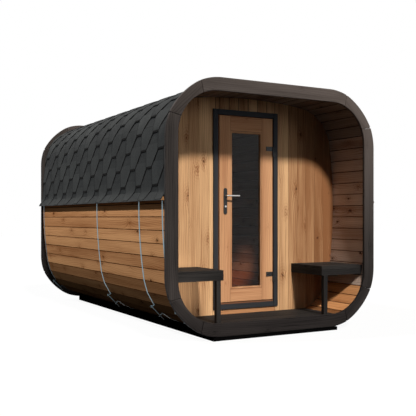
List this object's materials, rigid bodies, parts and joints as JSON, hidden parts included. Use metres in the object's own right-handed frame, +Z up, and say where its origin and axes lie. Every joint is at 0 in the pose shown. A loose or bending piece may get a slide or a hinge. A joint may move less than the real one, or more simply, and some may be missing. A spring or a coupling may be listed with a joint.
{
  "type": "cube sauna",
  "caption": "Rounded-square coopered timber sauna cabin with open front porch, side benches, glazed hinged door, steel hoops and a shingled roof with flared eaves.",
  "frame": {"origin": "on the ground, under the middle of the building", "axes": "+X to the right seen from the porch, +Y from the porch to the back along the length, +Z up"},
  "size_m": [2.144, 3.43, 2.1],
  "materials": {
    "stave_timber": "clear oiled spruce staves",
    "wall_timber": "planed spruce boards",
    "door_timber": "planed alder",
    "frame_timber": "reddish oiled timber",
    "dark_timber": "dark brown-grey stain, satin",
    "black_timber": "black impregnated timber",
    "casing": "satin black",
    "black_metal": "satin black",
    "steel": "stainless band",
    "shingle": "bitumen with mineral granules",
    "glass": "tinted safety glass"
  },
  "bodies": {
    "sauna": {"base_runners": "black_timber", "base_cross_beams": "black_timber", "bottom_staves": "stave_timber", "lower_right_staves": "stave_timber", "right_wall_staves": "stave_timber", "upper_right_staves": "stave_timber", "ceiling_staves": "stave_timber", "upper_left_staves": "stave_timber", "left_wall_staves": "stave_timber", "lower_left_staves": "stave_timber", "front_ring_sides": "dark_timber", "front_ring_corners": "dark_timber", "rear_ring_sides": "dark_timber", "rear_ring_corners": "dark_timber", "steel_hoops": "steel", "tension_rods": "steel", "eave_battens": "stave_timber", "roof_covering": "shingle", "porch_floor": "dark_timber", "cabin_floor": "wall_timber", "rear_wall": "wall_timber", "front_wall_left": "wall_timber", "front_wall_right": "wall_timber", "front_wall_top": "wall_timber", "front_wall_sill": "wall_timber", "door_jambs": "frame_timber", "door_head": "frame_timber", "door_threshold": "frame_timber", "door_casing": "casing", "hinge_pintles": "black_metal", "left_bench_seat": "dark_timber", "left_bench_apron": "dark_timber", "left_bench_post": "dark_timber", "right_bench_seat": "dark_timber", "right_bench_apron": "dark_timber", "right_bench_post": "dark_timber"},
    "door": {"door_stiles": "door_timber", "door_rails": "door_timber", "glazing_beads": "door_timber", "door_glass": "glass", "hinge_leaves": "black_metal", "handle_plates": "black_metal"},
    "lever": {"door_lever": "black_metal"}
  },
  "joints": [
    {"name": "door_hinge", "type": "hinge", "parent": "sauna", "child": "door", "pos_m": [0.2856, -1.212, 1], "axis": [0, 0, 1], "range_deg": [0, 100]},
    {"name": "lever_pivot", "type": "hinge", "parent": "door", "child": "lever", "pos_m": [-0.217, -1.205, 1.174], "axis": [0, 1, 0], "range_deg": [0, 40], "stiffness_Nm_per_rad": 1.2, "springref_deg": -20.05}
  ]
}
